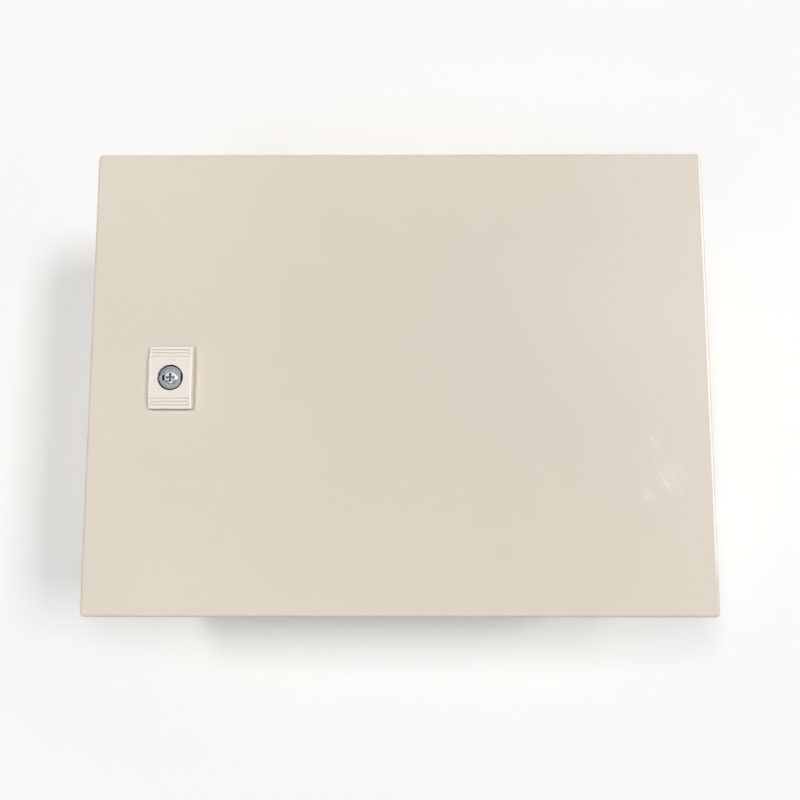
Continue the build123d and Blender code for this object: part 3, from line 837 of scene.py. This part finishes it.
scuffed = both(tree, scuffed, spread(tree, dots.outputs[0], 0.53, 0.63, 0.0, 1.0))
colour = blend(tree, either(tree, rubs, scuffed), colour, (0.90, 0.87, 0.79, 1))
# Painted shade: the face is toned darker round a point on the hinge side, a little above its middle
painted_shade_spot = node(tree, "Mapping", Vector=place, Location=(-0.40, 0.0, -0.20), Scale=(3.2, 0.0, 4.6)).outputs[0]
colour = toned(tree, colour, spread(tree, reach_of(tree, painted_shade_spot), 0.3, 1.15, 0.91, 1.02))

# Painted highlight along the crest of the fold on the hinge side, and painted shade on its heel and the
# bottom fold's
apart = node(tree, "SeparateXYZ", Vector=place).outputs
to_right = sums(tree, "SUBTRACT", door_high.x, apart["X"])
to_bottom = sums(tree, "SUBTRACT", apart["Z"], door_low.z)
to_fold = sums(tree, "MINIMUM", to_right, to_bottom)
on_front = spread(tree, apart["Y"], door_low.y + 0.8 * door_bend, door_low.y + 1.1 * door_bend, 1.0, 0.0)
outer_skin = spread(tree, apart["Y"], door_low.y + 0.35 * door_bend, door_low.y + 0.5 * door_bend, 1.0, 0.0)
painted_fold_highlight = both(tree, spread(tree, to_right, 0.38 * door_bend, 0.5 * door_bend, 0.0, 1.0),
             spread(tree, to_right, 0.85 * door_bend, 1.05 * door_bend, 0.9, 0.0))
painted_fold_highlight = both(tree, painted_fold_highlight, both(tree, outer_skin, spread(tree, to_bottom, 20 * mm, 38 * mm, 0.15, 1.0)))
painted_fold_shade = both(tree, spread(tree, to_fold, 0.3 * door_bend, 0.42 * door_bend, 0.45, 0.0), on_front)
colour = blend(tree, painted_fold_highlight, colour, (0.95, 0.93, 0.89, 1))
colour = blend(tree, painted_fold_shade, colour, (0.36, 0.34, 0.31, 1))

lock_low, lock_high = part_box("lock_housing")
lock_x = (lock_low.x + lock_high.x) / 2
lock_z = (lock_low.z + lock_high.z) / 2
half_width = 13.7 * mm
half_length = 19.75 * mm


def off_middle(tree, value, middle):
    # Distance to either side of a middle
    return sums(tree, "ABSOLUTE", sums(tree, "SUBTRACT", value, middle))


# Painted shade lies on the face close round the lock plate, a dark line at its foot
past_side = sums(tree, "SUBTRACT", off_middle(tree, apart["X"], lock_x), half_width)
past_top = sums(tree, "SUBTRACT", off_middle(tree, apart["Z"], lock_z), half_length)
on_face = spread(tree, apart["Y"], door_low.y + 0.3 * mm, door_low.y + 0.8 * mm, 0.35, 0.0)
painted_plate_shade = both(tree, spread(tree, either(tree, past_side, past_top), 0.2 * mm, 1.2 * mm, 1.0, 0.0), on_face)
feed(tree, shader, Base_Color=blend(tree, painted_plate_shade, colour, (0.30, 0.26, 0.21, 1)))


def on_axis(y, above=0.0):
    # A point on the lock's axis, or above it
    return Vector((lock_x, y, lock_z + above))


notch_reach = 4 * mm
return_strip = 4 * mm
notch_gap = 1.5 * mm
lock_hole = 9.3 * mm
fixing_hole = 1.9 * mm
fixing_side = 16.6 * mm

door = rounded_block("door_panel_folded", door_low, door_high, y_axis, 3 * mm, 7)
round_edges(door, lies_at(y_axis, door_low.y), door_bend, 7)
open_back(door, door_sheet)
for hinge in hinges:
    bracket_low, bracket_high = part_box(hinge + "_hinge_bracket")
    cut(door, blank("hinge_notch",
                    (door_high.x - notch_reach, door_low.y + return_strip, bracket_low.z - notch_gap),
                    (door_high.x + overrun, door_high.y + overrun, bracket_high.z + notch_gap)))
before_face = door_low.y - overrun
behind_sheet = door_low.y + door_sheet + overrun
cut(door, drill(lock_hole, on_axis(before_face), on_axis(behind_sheet)))
for side in (-fixing_side, fixing_side):
    cut(door, drill(fixing_hole, on_axis(before_face, side), on_axis(behind_sheet, side), 24))
soften(door, 0.12 * mm, 2, 60)
fit(door, "door", door_coat, "door_panel")


# Door gasket
# Four lengths of closed-cell foam strip bonded inside the door and butted at the corners, their exposed
# edges rounded and soft enough to seal on the lip.

foam, tree, shader, place = finish("foamed_seal")
cells = node(tree, "TexVoronoi", Vector=place, Scale=1100.0)
ripple = node(tree, "TexNoise", Vector=place, Scale=90.0, Detail=3.0).outputs[0]
skin = sums(tree, "MULTIPLY_ADD", ripple, 2.0, cells.outputs["Distance"])
dress(tree, shader, blend(tree, ripple, (0.018, 0.018, 0.019, 1), (0.045, 0.045, 0.047, 1)),
      spread(tree, ripple, 0.3, 0.7, 0.7, 0.9), skin, 0.4, 0.0002)

gasket_low, gasket_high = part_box("door_gasket")
strip_width = 12 * mm
butt_gap = 0.1 * mm
strip = blank("foam_strips", gasket_low, (gasket_high.x, gasket_high.y, gasket_low.z + strip_width))
side_strip = blank("side_strip", (gasket_low.x, gasket_low.y, gasket_low.z + strip_width + butt_gap),
                   (gasket_low.x + strip_width, gasket_high.y, gasket_high.z - strip_width - butt_gap))
for length, move in ((strip, (0, 0, gasket_high.z - gasket_low.z - strip_width)),
                     (side_strip, (gasket_high.x - gasket_low.x - strip_width, 0, 0))):
    round_edges(length, lies_at(y_axis, gasket_high.y), 2.2 * mm, 5)
    soften(length, 0.3 * mm, 2)
    repeat(length, [move])
join(strip, side_strip)
fit(strip, "door", foam, "door_gasket")


# Door earth stud
# Smaller M6 stud inside the door for the flexible earth strap, with its washer and nut.

m6_washer = 6.0
m6_washer_height = 1.2
strap_low, strap_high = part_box("door_earth_stud")
strap_seat = Vector(((strap_low.x + strap_high.x) / 2, strap_low.y, (strap_low.z + strap_high.z) / 2))
earth_point("door", "door", strap_seat, (0, 1, 0), (strap_high.y - strap_low.y) / mm,
            m6_radius, m6_pitch, m6_washer, m6_washer_height, m6_nut, m6_nut_height, 32)


# Lock plate
# Cream polyamide moulding on the door's face: flat round the lock, falling away to thin ends, with three
# grip grooves moulded across each end. Two screws hold it from inside the door.

plate_base = door_low.y
plate_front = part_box("lock_plate")[0].y
flat_half = 11.3 * mm
end_drop = 1.6 * mm
arch_run = half_length - flat_half
arch_radius = (arch_run * arch_run + end_drop * end_drop) / (2 * end_drop)
arch_steps = 8
groove_pitch = 2.1 * mm
groove_depth = 0.8 * mm
groove_half = 0.5 * mm
groove_margin = 1.2 * mm
lock_window = 8.2 * mm
flange_pocket = 11.4 * mm

cream, tree, shader, place = finish("cream_moulding")
haze = node(tree, "TexNoise", Vector=place, Scale=140.0, Detail=4.0, Roughness=0.6).outputs[0]
fine = node(tree, "TexNoise", Vector=place, Scale=2600.0, Detail=1.0).outputs[0]
clear = blend(tree, haze, (0.795, 0.735, 0.672, 1), (0.838, 0.782, 0.722, 1))
apart = node(tree, "SeparateXYZ", Vector=place).outputs
from_lock = off_middle(tree, apart["Z"], lock_z)
from_middle = off_middle(tree, apart["X"], lock_x)
# Painted highlight: the plate's top is painted paler along its long edges and where its ends fall away
painted_edge_highlight = either(tree, spread(tree, from_middle, 12.2 * mm, 12.5 * mm, 0.0, 0.6),
                     spread(tree, from_lock, 12.1 * mm, 12.4 * mm, 0.0, 0.5))
on_top = spread(tree, apart["Y"], plate_front + 1.9 * mm, plate_front + 2.3 * mm, 1.0, 0.0)
clear = blend(tree, both(tree, painted_edge_highlight, on_top), clear, (0.93, 0.88, 0.815, 1))
# Painted shade darkens the bottoms of the grip grooves
row = both(tree, sums(tree, "SUBTRACT", from_lock, flat_half), 1 / groove_pitch)
off_row = off_middle(tree, row, sums(tree, "ROUND", row))
in_rows = both(tree, spread(tree, row, 0.6, 0.7, 0.0, 1.0), spread(tree, row, 3.3, 3.4, 1.0, 0.0))
in_width = spread(tree, from_middle, 12.3 * mm, 12.6 * mm, 1.0, 0.0)
painted_groove_shade = both(tree, both(tree, in_rows, in_width), spread(tree, off_row, 0.17, 0.27, 0.32, 0.0))
dress(tree, shader, blend(tree, painted_groove_shade, clear, (0.44, 0.38, 0.31, 1)),
      spread(tree, haze, 0.3, 0.7, 0.36, 0.48), fine, 0.12, 0.00005)


def plate_surface(offset):
    # Front of the arched plate at a distance from its middle
    past = max(abs(offset) - flat_half, 0.0)
    return plate_front + arch_radius - math.sqrt(arch_radius * arch_radius - past * past)


def crosses_at(offset):
    # Test for the lines across the plate's flat front at a distance from its middle
    return lambda edge: all(abs(end.co.y - plate_front) < 1e-6
                            and abs(abs(end.co.z - lock_z) - offset) < 1e-6 for end in edge.verts)


def is_corner(edge):
    return runs_along(y_axis)(edge) and abs(abs(edge.verts[0].co.z - lock_z) - half_length) < 1e-6


def is_long_edge(edge):
    raised = all(abs(abs(end.co.x - lock_x) - half_width) < 1e-6 and end.co.y < plate_base - 1 * mm
                 for end in edge.verts)
    return raised and not runs_along(y_axis)(edge)


escutcheon = blank("lock_plate_moulding", (lock_x - half_width, plate_front, lock_z - half_length),
                   (lock_x + half_width, plate_base, lock_z + half_length))
for step in range(arch_steps):
    offset = flat_half + arch_run * step / arch_steps
    for sign in (-1, 1):
        pick(escutcheon, "FACE", lambda face: True)
        bpy.ops.mesh.bisect(plane_co=on_axis(0, sign * offset), plane_no=(0, 0, 1))
        done_editing()
for step in range(1, arch_steps + 1):
    offset = flat_half + arch_run * step / arch_steps
    pick(escutcheon, "EDGE", crosses_at(offset))
    bpy.ops.transform.translate(value=(0, plate_surface(offset) - plate_front, 0))
    done_editing()
round_edges(escutcheon, is_corner, 0.9 * mm, 4)
round_edges(escutcheon, is_long_edge, 0.45 * mm, 3)
groove_reach = half_width - groove_margin
for row in (1, 2, 3):
    offset = flat_half + groove_pitch * row
    floor = plate_surface(offset) + groove_depth
    for sign in (-1, 1):
        middle = lock_z + sign * offset
        groove = rounded_block("groove", (lock_x - groove_reach, plate_front - overrun, middle - groove_half),
                               (lock_x + groove_reach, floor, middle + groove_half), y_axis, 0.45 * mm, 3)
        cut(escutcheon, groove)
behind_plate = on_axis(plate_base + overrun)
cut(escutcheon, drill(lock_window, on_axis(plate_front - overrun), behind_plate, 96))
cut(escutcheon, drill(flange_pocket, on_axis(lock_low.y), behind_plate, 64))
soften(escutcheon, 0.22 * mm, 3, 35)
fit(escutcheon, "door", cream, "lock_plate")
screws_low, screws_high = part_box("lock_plate_screws")
plate_screw = pan_screw("plate_fixings", 3.2, 2.2, 1.5, (screws_high.y - screws_low.y) / mm,
                        on_axis(screws_high.y, fixing_side))
repeat(plate_screw, [(0, 0, -2 * fixing_side)])
fit(plate_screw, "door", zinc_plate, "lock_plate_screws")


# Lock housing, seal and nut
# Die-cast zinc sleeve through the door: its flange sits on a rubber ring under the plate, a plated nut holds
# it from inside, and its front ring shows round the rotor in the plate's round window.

grease_and_shade = (0.045, 0.042, 0.045, 1)


def depth_of(tree, place):
    return node(tree, "SeparateXYZ", Vector=place).outputs["Y"]


def greased_and_shaded_bore(tree, place):
    # The front of the sleeve's bore, dark with old grease and painted shade
    return spread(tree, depth_of(tree, place), lock_low.y + 2.2 * mm, lock_low.y + 2.4 * mm, 1.0, 0.0)


front_bore = 7.25
rear_bore = 5.05
bore_step = 2.3
flange_radius = 10.2
barrel = 8.9
flange = (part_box("lock_seal")[0].y - lock_low.y) / mm
housing_length = (lock_high.y - lock_low.y) / mm
sleeve_section = [(front_bore, 0), (flange_radius, 0), (flange_radius, flange), (barrel, flange),
                  (barrel, housing_length), (rear_bore, housing_length), (rear_bore, bore_step),
                  (front_bore, bore_step), (front_bore, 0)]
housing = turned("lock_sleeve", sleeve_section, on_axis(lock_low.y), (0, 1, 0), 96)
soften(housing, 0.12 * mm, 2)
sleeve_zinc = bare_metal("greased_shaded_sleeve", *casting, greased_and_shaded_bore, grease_and_shade)
fit(housing, "door", sleeve_zinc, "lock_housing")
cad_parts["lock_seal"].data.materials[0] = black_rubber
nut_low, nut_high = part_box("lock_nut")
barrel_nut = hex_nut("barrel_hexagon", 24.0, barrel + thread_fit, (nut_high.y - nut_low.y) / mm,
                     on_axis(nut_low.y), (0, 1, 0), math.pi / 6)
fit(barrel_nut, "door", zinc_plate, "lock_nut")


# Lock rotor
# Die-cast zinc plug that turns in the housing: a shallow ring groove round the screw, a raised driving lug
# at the left with a slot beside it, and a flat on the right edge. Its squared tail carries the cam.

def lock_block(name, left, right, front, back, half):
    # Block set out from the lock's axis, its sides in millimetres and even above and below
    return blank(name, (lock_x + left * mm, front, lock_z - half * mm),
                 (lock_x + right * mm, back, lock_z + half * mm))


rotor_low, rotor_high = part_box("lock_rotor")
cam_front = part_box("lock_cam")[0].y
lug_top = rotor_low.y
before_lug = lug_top - overrun
rotor_face = lug_top + 0.5 * mm
shaft = (cam_front - rotor_face) / mm
screw_way = 2.55
dish = 0.9
rotor_outer = 7.2
shaft_radius = 5.0
shoulder = 3.2
tail_half = 3.5
plug_section = [(screw_way, dish), (6.05, dish), (6.2, 0.75), (6.25, 0.15), (6.4, 0.0), (7.05, 0.0),
                (rotor_outer, 0.15), (rotor_outer, shoulder), (shaft_radius, shoulder),
                (shaft_radius, shaft), (screw_way, shaft), (screw_way, dish)]
rotor = turned("lock_plug", plug_section, on_axis(rotor_face), (0, 1, 0), 96)
lug = lock_block("driving_lug", -7.0, -5.1, lug_top, rotor_face + 1.5 * mm, 1.8)
round_edges(lug, runs_along(y_axis), 0.3 * mm, 3)
cut(rotor, lug, "UNION")
cut(rotor, lock_block("slot_cutter", -5.16, -3.7, before_lug, rotor_face + 2.3 * mm, 1.72))
nick_x = lock_x - rotor_outer * mm
nick_z = lock_z + 1.8 * mm
cut(rotor, drill(1.1 * mm, (nick_x, before_lug, nick_z), (nick_x, rotor_face + 0.95 * mm, nick_z), 20))
cut(rotor, lock_block("edge_flat", 6.3, 9, before_lug, rotor_face + 0.8 * mm, 9))
tail = lock_block("square_tail", -tail_half, tail_half, cam_front - 0.5 * mm, rotor_high.y, tail_half)
cut(tail, drill(screw_way * mm, on_axis(cam_front - overrun), on_axis(rotor_high.y + overrun)))
cut(rotor, tail, "UNION")
clean(rotor)
soften(rotor)


def from_axis(tree, place):
    # Distance from the lock's axis
    centred = node(tree, "Mapping", Vector=place, Location=(-lock_x, 0.0, -lock_z), Scale=(1.0, 0.0, 1.0))
    return reach_of(tree, centred.outputs[0])


def greased_and_shaded_rim(tree, place):
    # Grease and painted shade lie outside the raised ring, on the flat and in the slot
    depth = depth_of(tree, place)
    outside = spread(tree, from_axis(tree, place), 6.2 * mm, 6.3 * mm, 0.0, 1.0)
    sunk = both(tree, outside, spread(tree, depth, rotor_face + 0.3 * mm, rotor_face + 0.5 * mm, 0.0, 1.0))
    return either(tree, sunk, spread(tree, depth, rotor_face + 1.0 * mm, rotor_face + 1.2 * mm, 0.0, 1.0))


rotor_zinc = bare_metal("greased_shaded_rotor", *casting, greased_and_shaded_rim, grease_and_shade)
fit(rotor, "lock", rotor_zinc, "lock_rotor")


# Drive screw
# Zinc-plated pan-head screw with a cross recess. It runs through the rotor and clamps the cam, and a
# screwdriver in it turns the lock.

def dirt_and_shade_recess(tree, place):
    # Dirt and painted shade in the cross recess, below the crown of the head
    depth = depth_of(tree, place)
    low_down = spread(tree, depth, screw_low.y + 0.5 * mm, screw_low.y + 1.0 * mm, 0.0, 0.85)
    in_head = spread(tree, depth, screw_low.y + 2.2 * mm, screw_low.y + 2.4 * mm, 1.0, 0.0)
    inside = spread(tree, from_axis(tree, place), 3.4 * mm, 3.5 * mm, 1.0, 0.0)
    return both(tree, both(tree, low_down, in_head), inside)


screw_low, screw_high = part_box("lock_drive_screw")
head_radius = 4.4
head_height = 1.75
shank_radius = 2.5
screw_length = (screw_high.y - screw_low.y) / mm
screw = turned("drive_screw", [(0, 0), (1.8, 0.04), (2.8, 0.2), (3.6, 0.55), (4.15, 1.0), (head_radius, 1.5),
                               (head_radius, head_height), (shank_radius, head_height),
                               (shank_radius, screw_length), (0, screw_length)],
               on_axis(screw_low.y), (0, 1, 0), 64)
cross_recess(screw, on_axis(screw_low.y), -1, 3.3 * mm, 0.72 * mm, 1.9 * mm)
soften(screw, 0.1 * mm, 2, 35)
recess_shaded_zinc = bare_metal("zinc_plate_shaded_recess", *plated, dirt_and_shade_recess, (0.10, 0.115, 0.12, 1))
fit(screw, "lock", recess_shaded_zinc, "lock_drive_screw")


# Lock cam
# Pressed steel tongue on the rotor's squared tail, clamped by the drive screw's washer and nut. Turned to
# the left it catches behind the rim.

cam_low, cam_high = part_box("lock_cam")
tongue = 7 * mm
hub = 9.5 * mm
hole_half = 3.55
cam_washer_height = 1.0
cam = rounded_block("lock_tongue", (lock_x - tongue, cam_low.y, cam_low.z),
                    (lock_x + tongue, cam_high.y, lock_z), y_axis, 6.99 * mm, 12)
cut(cam, drill(hub, on_axis(cam_low.y), on_axis(cam_high.y), 64), "UNION")
cut(cam, lock_block("square_hole", -hole_half, hole_half, cam_low.y - overrun, cam_high.y + overrun,
                    hole_half))
soften(cam, 0.3 * mm, 2, 50)
fit(cam, "lock", zinc_plate, "lock_cam")
cam_disc = washer("cam_disc", 5.5, 2.7, cam_washer_height, on_axis(cam_high.y), (0, 1, 0))
fit(cam_disc, "lock", zinc_plate, "cam_washer")
cam_hexagon = hex_nut("cam_hexagon", 8.0, shank_radius + thread_fit, 4.0,
                      on_axis(cam_high.y + cam_washer_height * mm), (0, 1, 0))
fit(cam_hexagon, "lock", zinc_plate, "cam_nut")


# Wall and floor
# Plain white wall that the enclosure hangs on, and a pale floor well below it. From behind the wall is
# clear, so the back of the enclosure can be seen.

def sheet_of(name, low, high):
    # One flat sheet facing the room
    made = drawn_line(name, [Vector(low), Vector((high[0], low[1], low[2]))])
    rise = (0, high[1] - low[1], high[2] - low[2])
    bpy.ops.mesh.extrude_region_move(TRANSFORM_OT_translate={"value": rise})
    bpy.ops.mesh.select_all(action="SELECT")
    bpy.ops.mesh.normals_make_consistent(inside=False)
    facing = bmesh.from_edit_mesh(made.data).faces[:][0].normal
    if facing.y - facing.z > 0:
        bpy.ops.mesh.flip_normals()
    done_editing()
    return made


def mixed(tree, factor, first, second):
    # Two shaders, the second shown as far as the factor says
    made = node(tree, "MixShader", Fac=factor)
    tree.links.new(first.outputs[0], made.inputs[1])
    tree.links.new(second.outputs[0], made.inputs[2])
    return made


def shows(tree, output, shader):
    tree.links.new(shader.outputs[0], tree.nodes[output].inputs["Surface"])


floor_level = -1.4
wall_face = 0.6 * mm
room_side = 6
wall = sheet_of("white_wall", (-room_side, wall_face, floor_level), (room_side, wall_face, 4))
white, tree, shader, place = finish("white_wall")
feed(tree, shader, Base_Color=(0.97, 0.97, 0.965, 1), Roughness=0.9, Specular_IOR_Level=0.1)
paper = node(tree, "Emission", Color=(0.955, 0.955, 0.95, 1), Strength=1.0)
reach = node(tree, "Mapping", Vector=place, Scale=(1 / 0.36, 0.0, 1 / 0.27)).outputs[0]
beyond = spread(tree, reach_of(tree, reach), 0.95, 1.6, 0.0, 1.0)
to_camera = node(tree, "LightPath").outputs["Is Camera Ray"]
faded = mixed(tree, both(tree, beyond, to_camera), shader, paper)
from_behind = node(tree, "NewGeometry").outputs["Backfacing"]
shows(tree, "Material Output", mixed(tree, from_behind, faded, node(tree, "BsdfTransparent")))
wall.data.materials.append(white)
wall.visible_shadow = False

ground = sheet_of("pale_floor", (-room_side, -7, floor_level), (room_side, wall_face, floor_level))
pale, tree, shader, place = finish("pale_floor")
feed(tree, shader, Base_Color=(0.45, 0.45, 0.445, 1), Roughness=0.9)
lit = node(tree, "Emission", Color=(0.95, 0.95, 0.945, 1), Strength=1.0)
to_camera = node(tree, "LightPath").outputs["Is Camera Ray"]
shows(tree, "Material Output", mixed(tree, to_camera, shader, lit))
ground.data.materials.append(pale)


# Light
# Two soft lamps above the camera and a tall strip of window light on the right drop a soft shadow under
# the enclosure and a weaker one to its left. A side strip only glints, and fills lift the underside and back.

def lamp(name, place, target, size, power, tint, shines=True, spreads=True):
    bpy.ops.object.select_all(action="DESELECT")
    bpy.ops.object.light_add(type="AREA", location=place)
    made = bpy.context.object
    made.name = name
    made.rotation_euler = (Vector(target) - Vector(place)).to_track_quat("-Z", "Y").to_euler()
    made.data.shape = "RECTANGLE"
    made.data.size, made.data.size_y = size
    made.data.energy = power
    made.data.color = tint
    made.visible_glossy = shines
    made.visible_diffuse = spreads


daylight = (1.0, 0.99, 0.98)
warm = (1.0, 0.98, 0.95)
neutral = (1.0, 1.0, 1.0)
lamp("upper_left_lamp", (-0.78, -2.2, 0.75), (0, -0.1, 0), (0.35, 0.6), 19, daylight, False)
lamp("upper_right_lamp", (0.72, -2.2, 0.75), (0, -0.1, 0), (0.4, 0.6), 8, daylight, False)
lamp("right_window", (1.9, -2.6, 0.45), (0, -0.1, 0), (0.5, 1.0), 45, daylight)
lamp("side_glint", (2.0, -0.95, 0.1), (0.2, -0.15, 0), (0.25, 1.2), 14, neutral, True, False)
lamp("low_fill", (-0.7, -1.6, -0.9), (-0.1, -0.15, -0.1), (0.9, 0.5), 4.6, warm)
lamp("back_fill", (-1.2, 1.8, 1.0), (0, 0, 0), (1.2, 1.2), 36, neutral)

room_light = bpy.data.worlds.new("pale_room")
bpy.context.scene.world = room_light
room_light.use_nodes = True
tree = room_light.node_tree
backdrop = feed(tree, tree.nodes["Background"], Color=(1.0, 1.0, 1.0, 1), Strength=0.05)
plain = node(tree, "Background", Color=(0.95, 0.95, 0.945, 1), Strength=1.0)
path = node(tree, "LightPath").outputs
seen = either(tree, path["Is Camera Ray"], path["Is Glossy Ray"])
shows(tree, "World Output", mixed(tree, seen, backdrop, plain))


# Camera
# Close in front of the door, a little below its middle and tipped up.

bpy.ops.object.select_all(action="DESELECT")
bpy.ops.object.camera_add(location=(1.72 * mm, -532.62 * mm, -45.96 * mm),
                          rotation=(math.radians(90 + 4.769), 0, math.radians(0.199)))
camera = bpy.context.object
camera.name = "front_camera"
camera.data.sensor_width = 36
camera.data.lens = 27
camera.data.clip_start = 0.01
bpy.context.scene.camera = camera
bpy.context.scene.view_settings.view_transform = "Standard"
